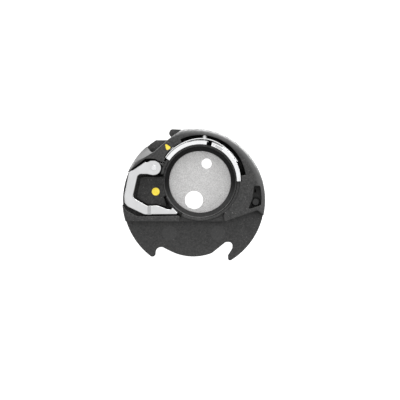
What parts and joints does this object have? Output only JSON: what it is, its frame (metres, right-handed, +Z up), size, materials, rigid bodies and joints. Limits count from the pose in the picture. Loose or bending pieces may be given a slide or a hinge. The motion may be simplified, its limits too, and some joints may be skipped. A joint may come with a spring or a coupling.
{
  "type": "bobbin case",
  "caption": "Round black bobbin case for a drop-in hook, with an offset well, tension leaf and screw, bright guard plates and a sprung brake lever.",
  "frame": {"origin": "on the hook axis, inside the larger hole of the floor plate, 1.2 mm above the underside of the cup", "axes": "+Z up out of the bobbin well along the hook axis; +X to the right and +Y away from the two front prongs, seen from above"},
  "size_m": [0.0434, 0.0402, 0.014],
  "materials": {
    "moulded_black": "fine matte moulded surface with polished wear on its edges",
    "sintered_steel": "fine speckled grey steel disc",
    "bright_plate": "bright plated thin steel",
    "spring_steel": "rolled bright spring steel",
    "stamped_steel": "satin nickel-plated stamping",
    "screw_steel": "turned bright steel",
    "yellow_paint": "yellow enamel paint",
    "black_plug": "dark moulded plug"
  },
  "bodies": {
    "case": {"case_body": "moulded_black", "floor_plate": "sintered_steel", "guard_plate": "bright_plate", "guard_pin": "screw_steel", "screw_plate": "bright_plate", "leaf_fixing_screw": "screw_steel", "lever_pivot_pin": "screw_steel", "lever_washer": "screw_steel", "lever_spring": "spring_steel", "pocket_plug": "black_plug", "dot_mark": "yellow_paint", "arrow_mark": "yellow_paint"},
    "lever": {"brake_lever": "stamped_steel"},
    "leaf": {"tension_leaf": "spring_steel"},
    "adjuster": {"tension_screw": "screw_steel"}
  },
  "joints": [
    {"name": "lever_pivot", "type": "hinge", "parent": "case", "child": "lever", "pos_m": [-0.0121, 0.00975, 0.0118], "axis": [0, 0, 1], "range_deg": [0, 6.5], "stiffness_Nm_per_rad": 0.002, "springref_deg": -20.05, "deforming": ["lever_spring"]},
    {"name": "leaf_flex", "type": "hinge", "parent": "case", "child": "leaf", "pos_m": [-0.00855, 0.0129, 0.0106], "axis": [0, 0, 1], "range_deg": [0, 0.35]},
    {"name": "tension_adjust", "type": "hinge", "parent": "case", "child": "adjuster", "pos_m": [0.00331, 0.01911, 0.0106], "axis": [0.1045, 0.9945, 0], "range_deg": [-360, 360]}
  ]
}
